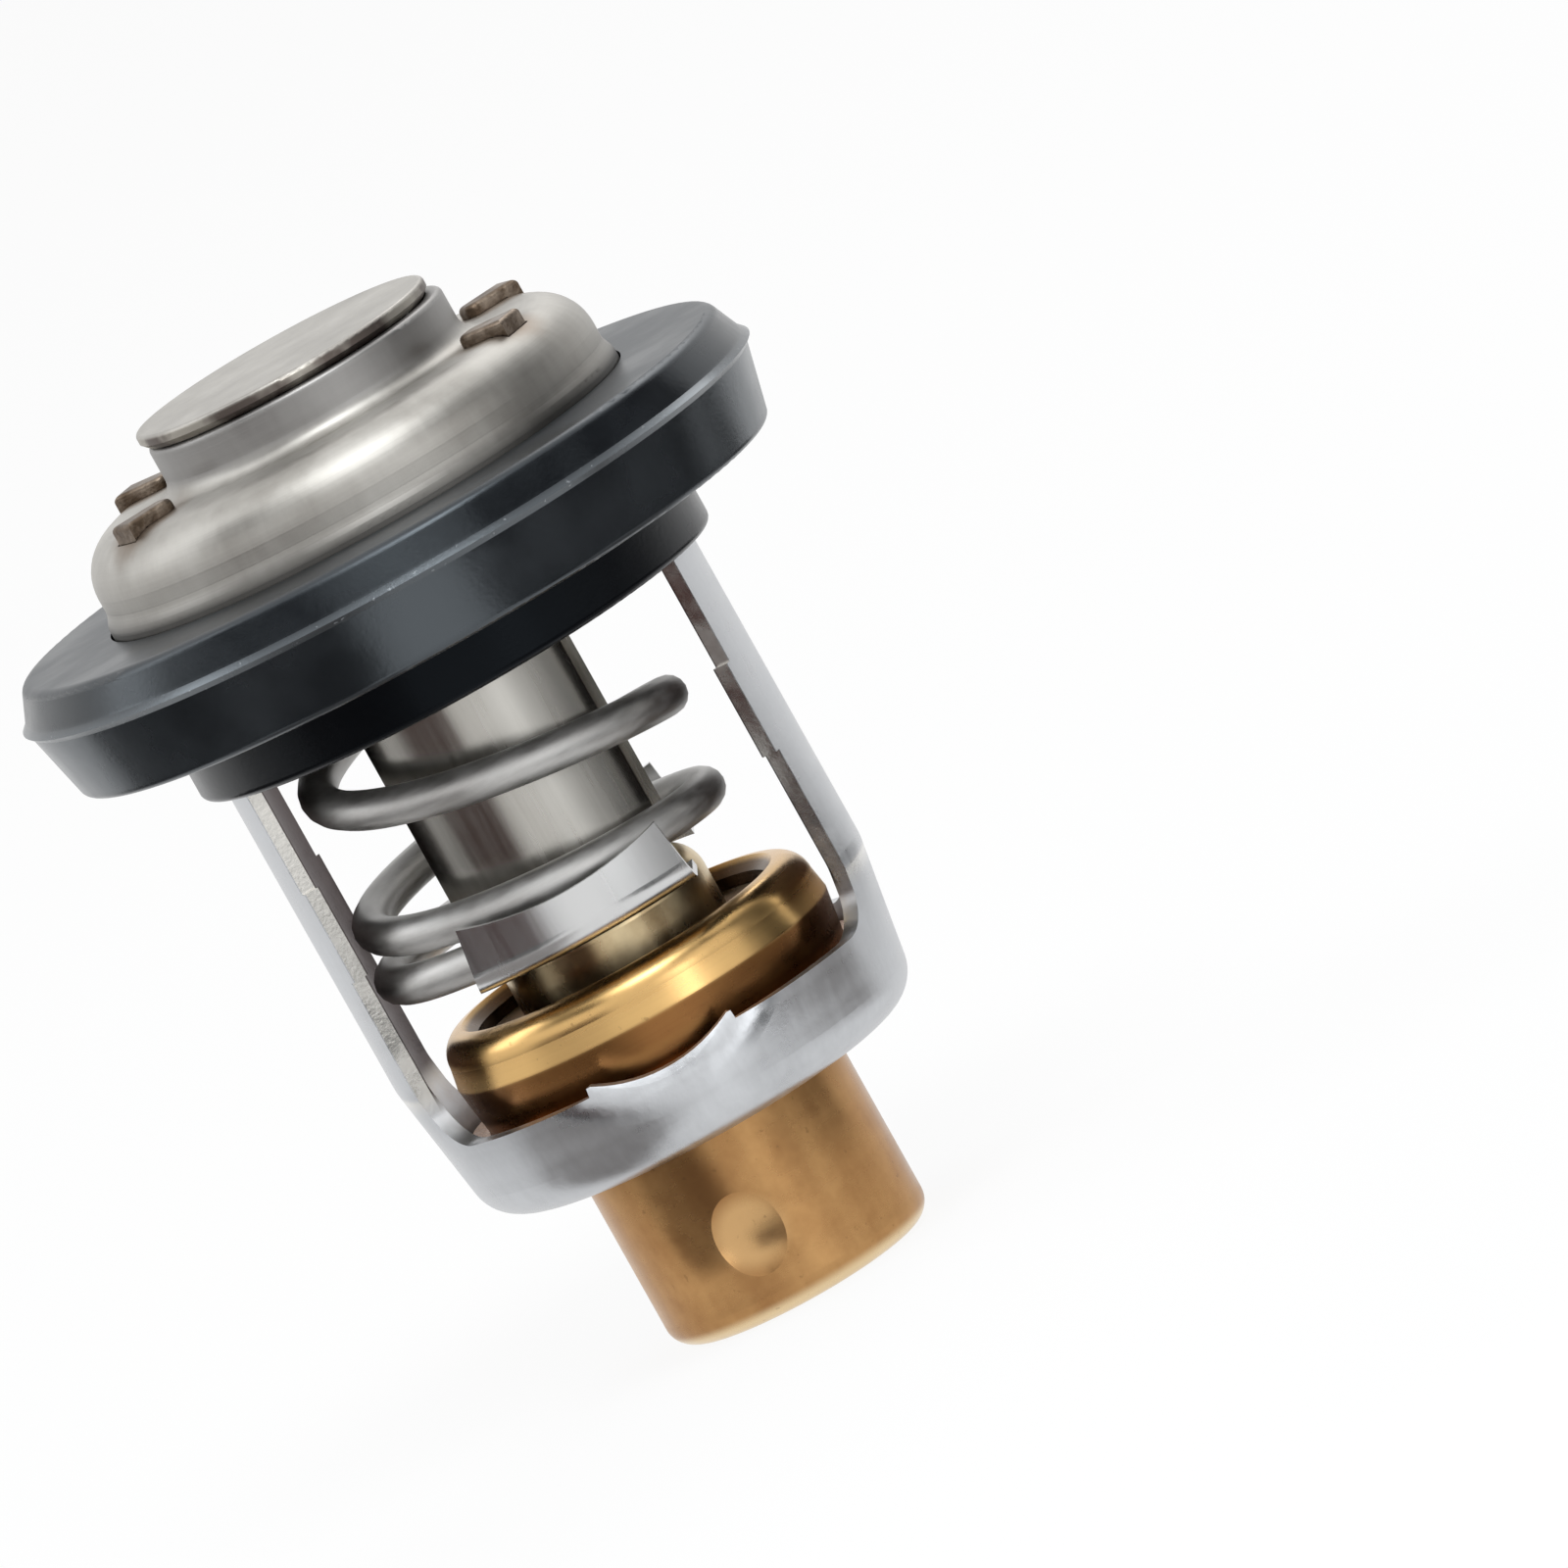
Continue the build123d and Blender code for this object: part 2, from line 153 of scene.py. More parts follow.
def ringWhere(tree, where):
    # radius and height only, for marks that run round the axis
    x, y, z = partsOf(tree, where)
    squares = sums(tree, "ADD", sums(tree, "MULTIPLY", x, x), sums(tree, "MULTIPLY", y, y))
    radius = sums(tree, "SQRT", squares)
    node = tree.nodes.new("ShaderNodeCombineXYZ")
    tree.links.new(radius, node.inputs["X"])
    tree.links.new(z, node.inputs["Z"])
    return node.outputs["Vector"], radius


def farFrom(tree, where, place):
    node = tree.nodes.new("ShaderNodeVectorMath")
    node.operation = "DISTANCE"
    tree.links.new(where, node.inputs[0])
    node.inputs[1].default_value = metres(place)
    return node.outputs["Value"]


def allQuarters(tree, where):
    node = tree.nodes.new("ShaderNodeVectorMath")
    node.operation = "ABSOLUTE"
    tree.links.new(where, node.inputs[0])
    return node.outputs["Vector"]


flangeLook = {
    "pale": (0.50, 0.485, 0.455),
    "dark": (0.33, 0.315, 0.29),
    "tones": (0.34, 0.7),
    "roughness": (0.42, 0.54),
    "roughTones": (0.3, 0.75),
    "turnedScale": 5200,
    "cloudScale": 210,
    "streakScale": 1500,
    "streakStretch": (1, 1, 0.12),
    "toneShares": (0.7, 0.12, 0.2),     # cloud, turned, streak
    "grainShares": (0.6, 0.4),          # turned, streak
    "relief": 0.012,
    # painted shade: a dark band at the foot of the dome wall, where it meets the seal
    "footShade": (0.07, 0.068, 0.064),
    "foot": (44.5, 45.9),
    "footShadeShare": 0.8,
    "tint": (0.17, 0.115, 0.072),       # heat tint round the prongs
    "prongPlace": (9.6, 5.3, 49.2),
    "tintReach": (1.9, 3.8),
    "tintBlur": 1.6,
    "tintShare": 0.75,
    # painted shade on the neck under the disc
    "neckTone": (0.20, 0.20, 0.21),
    "neckFrom": (49.2, 50.0),
    "neckShare": 0.5,
}
discLook = {
    "rimTone": (0.40, 0.375, 0.33),
    "rimStain": (0.10, 0.078, 0.068),
    "rimTones": (0.43, 0.55),
    "rimTop": (52.28, 52.47),
    "rimShare": 0.9,
}


def makeFlangeFinish(name, onDisc):
    look = flangeLook
    finish, tree, shader, where = startFinish(name, 1.0)
    turned = noise(tree, ringWhere(tree, where)[0], look["turnedScale"])
    cloud = noise(tree, where, look["cloudScale"], 4)
    streak = noise(tree, stretch(tree, where, look["streakStretch"]), look["streakScale"])
    tone = weighted(tree, (cloud, turned, streak), look["toneShares"])
    colour = shades(tree, tone, look["tones"], (look["dark"], look["pale"]))
    height = partsOf(tree, where)[2]
    # painted shade along the foot of the wall, next to the seal
    footShade = between(tree, height, *metres(look["foot"]), look["footShadeShare"], 0.0)
    colour = blendColours(tree, footShade, colour, look["footShade"])
    if onDisc:
        rimColours = (discLook["rimStain"], discLook["rimTone"])
        rim = shades(tree, cloud, discLook["rimTones"], rimColours)
        share = between(tree, height, *metres(discLook["rimTop"]), discLook["rimShare"], 0.0)
        colour = blendColours(tree, share, colour, rim)
    else:
        far = farFrom(tree, allQuarters(tree, where), look["prongPlace"])
        spot = weighted(tree, (far, cloud), (1.0, look["tintBlur"] * mm))
        share = between(tree, spot, *metres(look["tintReach"]), look["tintShare"], 0.0)
        colour = blendColours(tree, share, colour, look["tint"])
        # painted shade: the neck under the disc is darkened
        neck = between(tree, height, *metres(look["neckFrom"]), 0.0, look["neckShare"])
        colour = blendColours(tree, neck, colour, look["neckTone"])
    tree.links.new(colour, shader.inputs["Base Color"])
    rough = between(tree, tone, *look["roughTones"], *look["roughness"])
    tree.links.new(rough, shader.inputs["Roughness"])
    relief(tree, shader, weighted(tree, (turned, streak), look["grainShares"]), look["relief"])
    return finish


frameLook = {
    "pale": (0.64, 0.655, 0.675),
    "dark": (0.46, 0.47, 0.485),
    "tones": (0.38, 0.6),
    "roughness": (0.24, 0.42),
    "roughTones": (0.35, 0.65),
    "cloudScale": 260,
    "drawnScale": 1800,
    "drawnStretch": (1, 1, 0.08),
    "fineScale": 4200,
    "aroundScale": 700,
    "toneShares": (0.5, 0.15, 0.35),    # cloud, drawn, around
    "relief": 0.006,
    "legFrom": (16.5, 18.0),
    "edge": (0.80, 0.775, 0.72),
    "edgeTo": (12.90, 12.95),           # radii just inside a leg's outer face
    "edgeShare": 0.8,
    "edgeGloss": -0.12,
    # painted shade: the legs' inner faces are painted nearly black
    "inside": (0.06, 0.043, 0.042),
    "insideTo": (12.16, 12.21),         # and just outside its inner face
    "prong": (0.105, 0.075, 0.052),
    "prongPale": (0.26, 0.21, 0.165),
    "prongFrom": (48.2, 48.7),
    "crustScale": 900,
    "crustTones": (0.4, 0.68),
    "crustRough": 0.16,
    "crustLumps": 14.0,
}


def makeFrameFinish():
    look = frameLook
    finish, tree, shader, where = startFinish("frameSteel", 1.0)
    cloud = noise(tree, where, look["cloudScale"], 4)
    drawn = noise(tree, stretch(tree, where, look["drawnStretch"]), look["drawnScale"])
    fine = noise(tree, where, look["fineScale"], 2)
    rings, radius = ringWhere(tree, where)
    around = noise(tree, rings, look["aroundScale"], 2)
    tone = weighted(tree, (cloud, drawn, around), look["toneShares"])
    colour = shades(tree, tone, look["tones"], (look["dark"], look["pale"]))
    height = partsOf(tree, where)[2]
    leg = between(tree, height, *metres(look["legFrom"]))
    sheared = between(tree, radius, *metres(look["edgeTo"]), look["edgeShare"], 0.0)
    sheared = sums(tree, "MULTIPLY", sheared, leg)
    colour = blendColours(tree, sheared, colour, look["edge"])
    # painted shade on the legs' inner faces
    insideShade = between(tree, radius, *metres(look["insideTo"]), 1.0, 0.0)
    insideShade = sums(tree, "MULTIPLY", insideShade, leg)
    colour = blendColours(tree, insideShade, colour, look["inside"])
    burnt = between(tree, height, *metres(look["prongFrom"]))
    crust = noise(tree, where, look["crustScale"], 4, 0.65)
    brown = shades(tree, crust, look["crustTones"], (look["prong"], look["prongPale"]))
    colour = blendColours(tree, burnt, colour, brown)
    tree.links.new(colour, shader.inputs["Base Color"])
    rough = between(tree, tone, *look["roughTones"], *look["roughness"])
    changes = (1.0, look["edgeGloss"], look["crustRough"])
    tree.links.new(weighted(tree, (rough, sheared, burnt), changes), shader.inputs["Roughness"])
    lumps = sums(tree, "MULTIPLY", burnt, crust)
    relief(tree, shader, weighted(tree, (fine, lumps), (1.0, look["crustLumps"])), look["relief"])
    return finish


carriageLook = {
    "pale": (0.51, 0.495, 0.46),
    "dark": (0.40, 0.385, 0.35),
    "tones": (0.38, 0.62),
    "roughness": (0.20, 0.30),
    "roughTones": (0.35, 0.65),
    "bandScale": 420,
    "bandStretch": (1, 1, 0.03),
    "scratchScale": 3600,
    "scratchStretch": (1, 1, 0.05),
    "cloudScale": 300,
    "toneShares": (0.6, 0.25, 0.15),    # band, scratch, cloud
    "relief": 0.0012,
    # painted highlight: the turned-out hooks are a lighter copy of the carriage steel
    "hook": (0.70, 0.705, 0.71),
    "hookFrom": (7.2, 7.8),             # radius where the legs turn out
    "hookShare": 0.85,
}


def makeCarriageFinish():
    look = carriageLook
    finish, tree, shader, where = startFinish("carriageSteel", 1.0)
    band = noise(tree, stretch(tree, where, look["bandStretch"]), look["bandScale"])
    scratch = noise(tree, stretch(tree, where, look["scratchStretch"]), look["scratchScale"], 2)
    cloud = noise(tree, where, look["cloudScale"])
    tone = weighted(tree, (band, scratch, cloud), look["toneShares"])
    colour = shades(tree, tone, look["tones"], (look["dark"], look["pale"]))
    radius = ringWhere(tree, where)[1]
    # painted highlight on the hooks
    turnedOut = between(tree, radius, *metres(look["hookFrom"]), 0.0, look["hookShare"])
    colour = blendColours(tree, turnedOut, colour, look["hook"])
    tree.links.new(colour, shader.inputs["Base Color"])
    rough = between(tree, tone, *look["roughTones"], *look["roughness"])
    tree.links.new(rough, shader.inputs["Roughness"])
    relief(tree, shader, scratch, look["relief"])
    return finish


springLook = {
    "pale": (0.67, 0.665, 0.65),
    "dark": (0.54, 0.53, 0.515),
    "tones": (0.38, 0.62),
    "roughness": (0.46, 0.58),
    "roughTones": (0.35, 0.65),
    "cloudScale": 380,
    "drawnScale": 1700,
    "drawnStretch": (0.5, 0.5, 2.5),
    "toneShares": (0.55, 0.45),         # cloud, drawn
    "relief": 0.004,
    "radius": 10.05,        # outside of the coil
    "wire": 2.0,
    "lean": 1.5,            # of the lower end, to the left
    "low": 21.75,           # ends of the wire's outside
    "high": 48.2,
    "closedGap": 0.08,
    "startTurn": -115.0,
    "pointsPerTurn": 20,
    "stepsPerPoint": 5,
    "roundSteps": 6,
    "smoothTo": 40,         # degrees
    "travel": 4.0,
}


def makeSpringFinish():
    look = springLook
    finish, tree, shader, where = startFinish("springSteel", 1.0)
    cloud = noise(tree, where, look["cloudScale"], 4)
    drawn = noise(tree, stretch(tree, where, look["drawnStretch"]), look["drawnScale"])
    tone = weighted(tree, (cloud, drawn), look["toneShares"])
    colour = shades(tree, tone, look["tones"], (look["dark"], look["pale"]))
    tree.links.new(colour, shader.inputs["Base Color"])
    rough = between(tree, tone, *look["roughTones"], *look["roughness"])
    tree.links.new(rough, shader.inputs["Roughness"])
    relief(tree, shader, drawn, look["relief"])
    return finish


sealLook = {
    "black": (0.004, 0.0047, 0.006),
    "worn": (0.011, 0.0125, 0.015),
    "wornTones": (0.4, 0.75),
    # painted shade: the seal's neck below its broad part is painted darker, and its near-black
    # specular tint takes away its reflections
    "neck": (0.0035, 0.004, 0.005),
    "neckTop": (37.7, 38.9),
    "cloudScale": 190,
    "skinScale": 3800,
    "relief": 0.006,
    "speck": (0.42, 0.44, 0.46),        # dust along the mould line
    "speckScale": 2600,
    "speckTones": (0.66, 0.74),
    "speckReach": (0.05, 0.4),
    "speckShare": 0.45,
    "mouldLine": 42.35,
    "slopeFrom": (42.35, 42.85),
    "flatTop": (43.9, 44.3),
    "roughness": (0.19, 0.29),
    "roughTones": (0.3, 0.7),
    "topRough": 0.11,                   # more on the flat top
    "index": 1.62,
    "shine": 1.0,
    "neckTint": (0.05, 0.06, 0.07),
    # painted light in the specular tint: the side's bluish tint paints a bluish highlight, and
    # the slope and flat top are tinted duller
    "sideTint": (0.82, 0.92, 1.0),
    "slopeTint": (0.29, 0.33, 0.36),
    "topTint": (0.40, 0.45, 0.49),
}


def makeSealFinish():
    look = sealLook
    finish, tree, shader, where = startFinish("sealRubber")
    cloud = noise(tree, where, look["cloudScale"], 4)
    skin = noise(tree, where, look["skinScale"])
    colour = shades(tree, cloud, look["wornTones"], (look["black"], look["worn"]))
    height = partsOf(tree, where)[2]
    off = sums(tree, "ABSOLUTE", sums(tree, "SUBTRACT", height, look["mouldLine"] * mm))
    line = between(tree, off, *metres(look["speckReach"]), 1.0, 0.0)
    dust = between(tree, noise(tree, where, look["speckScale"], 2), *look["speckTones"])
    share = sums(tree, "MULTIPLY", sums(tree, "MULTIPLY", dust, line), look["speckShare"])
    colour = blendColours(tree, share, colour, look["speck"])
    # painted shade on the seal's neck
    upper = between(tree, height, *metres(look["neckTop"]))
    colour = blendColours(tree, upper, look["neck"], colour)
    tree.links.new(colour, shader.inputs["Base Color"])
    slope = between(tree, height, *metres(look["slopeFrom"]))
    flat = between(tree, height, *metres(look["flatTop"]))
    rough = between(tree, cloud, *look["roughTones"], *look["roughness"])
    rough = weighted(tree, (rough, flat), (1.0, look["topRough"]))
    tree.links.new(rough, shader.inputs["Roughness"])
    # painted highlight and shade in the seal's specular tint
    tint = blendColours(tree, flat, look["slopeTint"], look["topTint"])
    tint = blendColours(tree, slope, look["sideTint"], tint)
    tint = blendColours(tree, upper, look["neckTint"], tint)
    tree.links.new(tint, shader.inputs["Specular Tint"])
    shader.inputs["IOR"].default_value = look["index"]
    shader.inputs["Specular IOR Level"].default_value = look["shine"]
    relief(tree, shader, skin, look["relief"])
    return finish


brassLook = {
    "bulbPale": (0.52, 0.295, 0.12),
    "bulbDark": (0.34, 0.172, 0.066),
    # painted highlight along the bulb's bottom edge
    "bulbEdgeHighlight": (0.78, 0.60, 0.36),
    "collarPale": (0.74, 0.475, 0.19),
    "collarDark": (0.66, 0.415, 0.165),
    # painted shade: the collar below the crease is a darker copy of its brass
    "underPale": (0.34, 0.165, 0.055),
    "underDark": (0.26, 0.115, 0.04),
    # painted shade: the hollow inside the collar's mouth, and the guide below its foot, are
    # painted dark
    "insidePale": (0.16, 0.088, 0.036),
    "insideDark": (0.07, 0.038, 0.016),
    "guidePale": (0.78, 0.64, 0.40),
    "guideDark": (0.42, 0.29, 0.15),
    "tones": (0.38, 0.62),
    "roughness": (0.22, 0.34),
    "roughTones": (0.35, 0.65),
    "drawnScale": 330,
    "drawnStretch": (1, 1, 0.05),
    "turnedScale": 4600,
    "wideScale": 900,
    "cloudScale": 420,
    "longShares": (0.55, 0.45),         # drawn, cloud
    "aroundShares": (0.5, 0.2, 0.3),    # wide, turned, cloud
    "caseShares": (0.5, 0.5),           # long, around
    "grainShares": (0.4, 1.0),          # turned, cloud
    "relief": 0.004,
    "speck": (0.11, 0.055, 0.025),
    "speckScale": 2300,
    "speckTones": (0.68, 0.76),
    "speckShare": 0.3,
    "bulbTop": (9.9, 10.4),
    "bulbEnd": (0.35, 0.95),
    # painted light: the dimple is painted paler than the bulb round it
    "litDimple": (0.60, 0.37, 0.165),
    "dimplePlace": (-0.835, -7.11, 4.45),
    "dimpleReach": (1.2, 2.3),
    "crease": (16.45, 16.75),           # between the collar's underside and its lip
    "mouth": (8.35, 8.65),              # radius of the collar's opening
    "guideFoot": (17.6, 18.6),
}


def makeBrassFinish(name, turnedPiece):
    # bands run along the bulb and the guide, and round the collar
    look = brassLook
    finish, tree, shader, where = startFinish(name, 1.0)
    rings, radius = ringWhere(tree, where)
    height = partsOf(tree, where)[2]
    drawn = noise(tree, stretch(tree, where, look["drawnStretch"]), look["drawnScale"])
    turned = noise(tree, rings, look["turnedScale"], 2)
    wide = noise(tree, rings, look["wideScale"], 2)
    cloud = noise(tree, where, look["cloudScale"], 4, 0.6)
    long = weighted(tree, (drawn, cloud), look["longShares"])
    around = weighted(tree, (wide, turned, cloud), look["aroundShares"])

    def pair(kind, tone):
        return shades(tree, tone, look["tones"], (look[kind + "Dark"], look[kind + "Pale"]))

    def step(value, kind):
        return between(tree, value, *metres(look[kind]))

    # painted shade in the collar's hollow and on the guide's foot
    inside = pair("inside", around)
    if turnedPiece:
        colour = blendColours(tree, step(height, "guideFoot"), inside, pair("guide", long))
        tone = long
    else:
        # painted shade below the crease
        crease = step(height, "crease")
        upper = blendColours(tree, crease, pair("under", around), pair("collar", around))
        upper = blendColours(tree, step(radius, "mouth"), inside, upper)
        # painted highlight on the bulb's bottom edge
        bulb = blendColours(tree, step(height, "bulbEnd"), look["bulbEdgeHighlight"], pair("bulb", long))
        # painted light over the dimple
        far = farFrom(tree, where, look["dimplePlace"])
        bulb = blendColours(tree, step(far, "dimpleReach"), look["litDimple"], bulb)
        colour = blendColours(tree, step(height, "bulbTop"), bulb, upper)
        tone = weighted(tree, (long, around), look["caseShares"])
    spots = between(tree, noise(tree, where, look["speckScale"], 2), *look["speckTones"])
    share = sums(tree, "MULTIPLY", spots, look["speckShare"])
    colour = blendColours(tree, share, colour, look["speck"])
    tree.links.new(colour, shader.inputs["Base Color"])
    rough = between(tree, tone, *look["roughTones"], *look["roughness"])
    tree.links.new(rough, shader.inputs["Roughness"])
    marks = sums(tree, "MULTIPLY", turned, step(height, "bulbTop"))
    relief(tree, shader, weighted(tree, (marks, cloud), look["grainShares"]), look["relief"])
    return finish


innerLook = {
    "wax": {"dark": (0.52, 0.44, 0.27), "pale": (0.62, 0.55, 0.38), "roughness": 0.55},
    "rubber": {"dark": (0.012, 0.012, 0.012), "pale": (0.03, 0.03, 0.03), "roughness": 0.6},
    "plastic": {"dark": (0.6, 0.6, 0.56), "pale": (0.72, 0.72, 0.68), "roughness": 0.45},
    "tones": (0.4, 0.65),
    "cloudScale": 500,
    "relief": 0.02,
}


def makeInnerFinish(name, kind):
    look = innerLook
    own = look[kind]
    finish, tree, shader, where = startFinish(name, roughness=own["roughness"])
    cloud = noise(tree, where, look["cloudScale"], 4)
    colour = shades(tree, cloud, look["tones"], (own["dark"], own["pale"]))
    tree.links.new(colour, shader.inputs["Base Color"])
    relief(tree, shader, cloud, look["relief"])
    return finish


carriageSteel = makeCarriageFinish()
springSteel = makeSpringFinish()
innerRubber = makeInnerFinish("innerRubber", "rubber")
finishes = {
    "seat_flange": makeFlangeFinish("flangeSteel", False),
    "valve_disc": makeFlangeFinish("discSteel", True),
    "frame": makeFrameFinish(),
    "valve_carriage": carriageSteel,
    "return_spring": springSteel,
    "lift_piston": carriageSteel,
    "seal_ring": makeSealFinish(),
    "wax_case": makeBrassFinish("caseBrass", False),
    "guide_bush": makeBrassFinish("guideBrass", True),
    "wax_charge": makeInnerFinish("waxCharge", "wax"),
    "diaphragm": innerRubber,
    "rubber_plug": innerRubber,
    "backup_disc": makeInnerFinish("backupPlastic", "plastic"),
}
for node, finish in finishes.items():
    nodes[node].data.materials.clear()
    nodes[node].data.materials.append(finish)
print("finishes on", len(nodes), "nodes")


def makeSpring():
    # one path of wire, then a mesh from it
    look = springLook
    half = look["wire"] / 2
    coil = look["radius"] - half
    low = look["low"] + half
    rise = look["high"] - half - low
    turns = math.sqrt(2 * rise / (look["wire"] + look["closedGap"]))
    count = math.ceil(turns * look["pointsPerTurn"])
    clearSelection()
    bpy.ops.curve.primitive_nurbs_path_add(radius=0.01, location=(0, 0, 0))
    spring = bpy.context.active_object
    spring.name = "springWire"
    line = spring.data.splines[0]
    line.points.add(count + 1 - len(line.points))
    for step, point in enumerate(line.points):
        along = step / count
        eased = 2 * along ** 2 if along < 0.5 else 1 - 2 * (1 - along) ** 2
        angle = math.radians(look["startTurn"] - 360 * turns * along)
        x = coil * math.cos(angle) - look["lean"] * max(0.0, 1 - 2 * eased)
        point.co = (x * mm, coil * math.sin(angle) * mm, (low + rise * eased) * mm, 1)
        point.radius = 1
    line.order_u = 4
    line.use_endpoint_u = True
    line.resolution_u = look["stepsPerPoint"]
    spring.data.bevel_depth = half * mm
    spring.data.bevel_resolution = look["roundSteps"]
    spring.data.use_fill_caps = True
    spring.data.twist_mode = "Z_UP"
    bpy.ops.object.convert(target="MESH")
    spring = bpy.context.active_object
    bpy.ops.object.shade_smooth_by_angle(angle=math.radians(look["smoothTo"]))
    spring.data.materials.clear()
    spring.data.materials.append(springSteel)
    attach(spring, "housing")
    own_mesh(spring)
    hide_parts("return_spring")


makeSpring()
print("spring wound")


# floor, light and camera
stageLook = {
    "floorSize": 6.0,
    "floorPale": (0.86, 0.86, 0.86),
    "floorDark": (0.8514, 0.8514, 0.8514),
    "floorTones": (0.3, 0.7),
    "floorScale": 3,
    "matt": 0.9,
    "whiteShare": 0.9,      # of the floor that the eye sees as plain white
    "roomLight": 0.55,      # on matt surfaces
}


def whiteRays(tree):
    path = tree.nodes.new("ShaderNodeLightPath")
    seen = sums(tree, "MAXIMUM", path.outputs["Is Camera Ray"], path.outputs["Is Glossy Ray"])
    return sums(tree, "MAXIMUM", seen, path.outputs["Is Transmission Ray"])


def makeFloor():
    look = stageLook
    clearSelection()
    bpy.ops.mesh.primitive_plane_add(size=look["floorSize"], location=(0, 0, 0))
    floor = bpy.context.active_object
    floor.name = "paleFloor"
    finish, tree, shader, where = startFinish("paleFloor", roughness=look["matt"])
    cloud = noise(tree, where, look["floorScale"], 2)
    colour = shades(tree, cloud, look["floorTones"], (look["floorDark"], look["floorPale"]))
    tree.links.new(colour, shader.inputs["Base Color"])
    glow = tree.nodes.new("ShaderNodeEmission")
    mix = tree.nodes.new("ShaderNodeMixShader")
    share = sums(tree, "MULTIPLY", whiteRays(tree), look["whiteShare"])
    tree.links.new(share, mix.inputs["Fac"])
    tree.links.new(shader.outputs["BSDF"], mix.inputs[1])
    tree.links.new(glow.outputs["Emission"], mix.inputs[2])
    tree.links.new(mix.outputs["Shader"], tree.nodes["Material Output"].inputs["Surface"])
    floor.data.materials.append(finish)


def makeRoom():
    room = bpy.data.worlds.new("room")
    scene.world = room
    room.use_nodes = True
    tree = room.node_tree
    back = tree.nodes["Background"]
    back.inputs["Color"].default_value = (1, 1, 1, 1)
    level = sums(tree, "MAXIMUM", whiteRays(tree), stageLook["roomLight"])
    tree.links.new(level, back.inputs["Strength"])


def aimed(place, target):
    return (Vector(target) - Vector(place)).to_track_quat("-Z", "Y").to_euler()


# places and sizes in metres, power in watts
lampTarget = (0, 0, 0.03)
lampLook = {
    "key": {
        "place": (0.06, -0.25, 0.52),
        "size": (0.26, 0.26),
        "power": 1.6,
        "colour": (0.95, 0.98, 1.0),
    },
    "right": {
        "place": (0.24, -0.45, 0.10),
        "size": (0.14, 0.20),
        "power": 0.18,
        "colour": (0.96, 0.98, 1.0),
    },
    "left": {
        "place": (-0.42, 0.06, 0.40),
        "size": (0.16, 0.40),
        "power": 0.5,
        "colour": (0.94, 0.97, 1.0),
    },
    "back": {
        "place": (0.25, 0.40, 0.45),
        "size": (0.35, 0.25),
        "power": 0.6,
        "colour": (1.0, 1.0, 1.0),
    },
}


def makeLamps():
    for name, look in lampLook.items():
        clearSelection()
        place = look["place"]
        turn = aimed(place, lampTarget)
        bpy.ops.object.light_add(type="AREA", location=place, rotation=turn)
        lamp = bpy.context.active_object
        lamp.name = name + "Lamp"
        lamp.data.shape = "RECTANGLE"
        lamp.data.size, lamp.data.size_y = look["size"]
        lamp.data.energy = look["power"]
        lamp.data.color = look["colour"]


# standing cards face a target; flat ones lie between two corners just above the floor
standingCards = {
    "leftCard": {
        "place": (-0.087, -0.0966, 0.014),
        "size": (0.125, 0.046),
        "target": (0, 0, 0.014),
        "tone": "warm",
    },
    "leftHigh": {
        "place": (-0.0966, -0.087, 0.16),
        "size": (0.15, 0.10),
        "target": (0, 0, 0.16),
        "tone": "black",
    },
    "rightHigh": {
        "place": (0.0951, -0.0887, 0.16),
        "size": (0.10, 0.10),
        "target": (0, 0, 0.16),
        "tone": "black",
    },
    "rightCard": {
        "place": (0.36, 0.02, 0.12),
        "size": (0.33, 0.55),
        "target": (0, 0.02, 0.12),
        "tone": "black",
    },
}
flatCards = {
    "leftLow": {"low": (-0.225, -0.125), "high": (-0.042, 0.06), "tone": "black"},
    "leftSide": {"low": (-0.064, -0.115), "high": (-0.015, -0.038), "tone": "black"},
    "leftNear": {"low": (-0.05, -0.042), "high": (-0.003, -0.006), "tone": "dusk"},
    "rightLow": {"low": (0.052, -0.125), "high": (0.225, 0.035), "tone": "black"},
    "rightSide": {"low": (0.022, -0.115), "high": (0.07, -0.028), "tone": "black"},
    "rightNear": {"low": (0.024, -0.032), "high": (0.07, 0.008), "tone": "dusk"},
    "rightBack": {"low": (0.045, 0.015), "high": (0.115, 0.08), "tone": "black"},
}
flatCardHeight = 0.003
cardColours = {
    "warm": ((0.05, 0.018, 0.015), (0.09, 0.035, 0.03)),
    "dusk": ((0.27, 0.25, 0.24), (0.33, 0.31, 0.30)),
    "black": ((0.02, 0.02, 0.02), (0.05, 0.05, 0.05)),
}
cardLook = {
    "cloudScale": 4,
    "tones": (0.3, 0.7),
    "softEdge": (0.40, 0.5),    # share of the card's width
}


def makeCardFinish(tone):
    look = cardLook
    finish, tree, shader, where = startFinish(tone + "Card", roughness=stageLook["matt"])
    cloud = noise(tree, where, look["cloudScale"], 2)
    colour = shades(tree, cloud, look["tones"], cardColours[tone])
    tree.links.new(colour, shader.inputs["Base Color"])
    sides = [sums(tree, "ABSOLUTE", part) for part in partsOf(tree, where)[:2]]
    fades = [between(tree, side, *look["softEdge"], 1.0, 0.0) for side in sides]
    tree.links.new(sums(tree, "MULTIPLY", *fades), shader.inputs["Alpha"])
    return finish


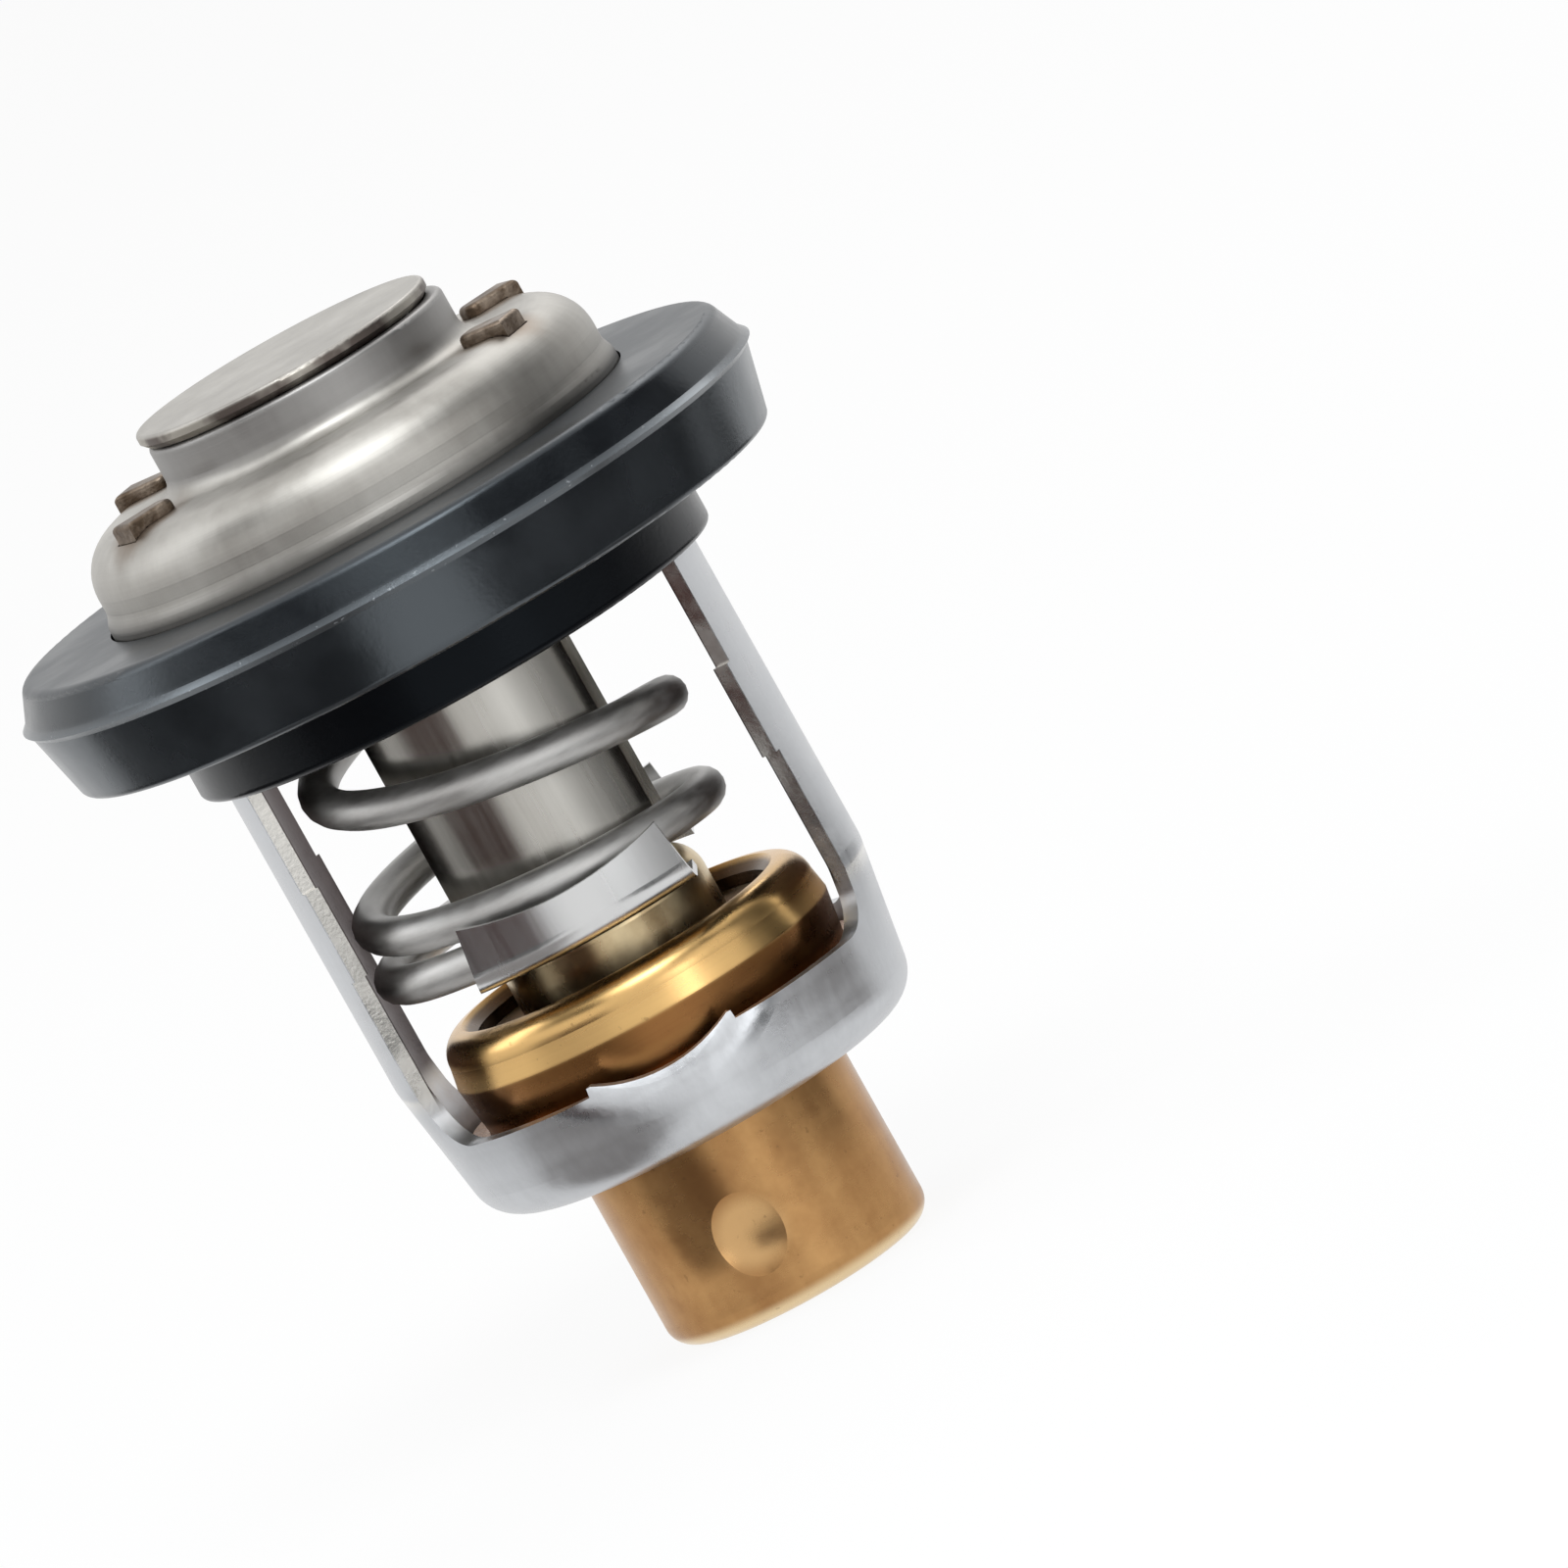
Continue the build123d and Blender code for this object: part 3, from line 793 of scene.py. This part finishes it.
def addCard(name, place, turn, size, finish):
    clearSelection()
    bpy.ops.mesh.primitive_plane_add(size=1, location=place, rotation=turn)
    card = bpy.context.active_object
    card.name = name
    card.scale = (*size, 1)
    card.data.materials.append(finish)
    card.visible_camera = False
    card.visible_shadow = False
    card.visible_diffuse = False


def makeCards():
    # dark cards at the sides give the metal its dark bands
    cardFinishes = {tone: makeCardFinish(tone) for tone in cardColours}
    for name, look in standingCards.items():
        turn = aimed(look["place"], look["target"])
        addCard(name, look["place"], turn, look["size"], cardFinishes[look["tone"]])
    for name, look in flatCards.items():
        (left, front), (right, back) = look["low"], look["high"]
        place = ((left + right) / 2, (front + back) / 2, flatCardHeight)
        size = (right - left, back - front)
        addCard(name, place, (0, 0, 0), size, cardFinishes[look["tone"]])


cameraLook = {
    "azimuth": 3.5,         # degrees towards +X from the front
    "elevation": 8.1,
    "roll": 29.25,
    "distance": 1.3,
    "target": (0, 0, 0.026),
    "acrossShift": 11.504,  # mm in the picture plane, so that the part lies left of the middle
    "upShift": 1.831,
    "pictureWidth": 76.6,   # mm at the target
    "sensor": 36,
    "farEnd": 20,
}


def makeCamera():
    look = cameraLook
    azimuth, elevation, roll = (math.radians(look[k]) for k in ("azimuth", "elevation", "roll"))
    away = Vector((
        math.sin(azimuth) * math.cos(elevation),
        -math.cos(azimuth) * math.cos(elevation),
        math.sin(elevation),
    ))
    right = Vector((math.cos(azimuth), math.sin(azimuth), 0))
    up = away.cross(right)
    across = math.cos(roll) * right - math.sin(roll) * up
    over = math.sin(roll) * right + math.cos(roll) * up
    shift = (look["acrossShift"] * across + look["upShift"] * over) * mm
    target = Vector(look["target"]) + shift
    clearSelection()
    bpy.ops.object.camera_add()
    camera = bpy.context.active_object
    camera.name = "photoCamera"
    turn = Matrix((across, over, away)).transposed().to_4x4()
    camera.matrix_world = Matrix.Translation(target + away * look["distance"]) @ turn
    camera.data.sensor_width = look["sensor"]
    camera.data.lens = look["sensor"] * look["distance"] / (look["pictureWidth"] * mm)
    camera.data.clip_end = look["farEnd"]
    scene.camera = camera


makeFloor()
makeRoom()
makeLamps()
makeCards()
makeCamera()
print("floor, light and camera set")

bpy.context.view_layer.update()
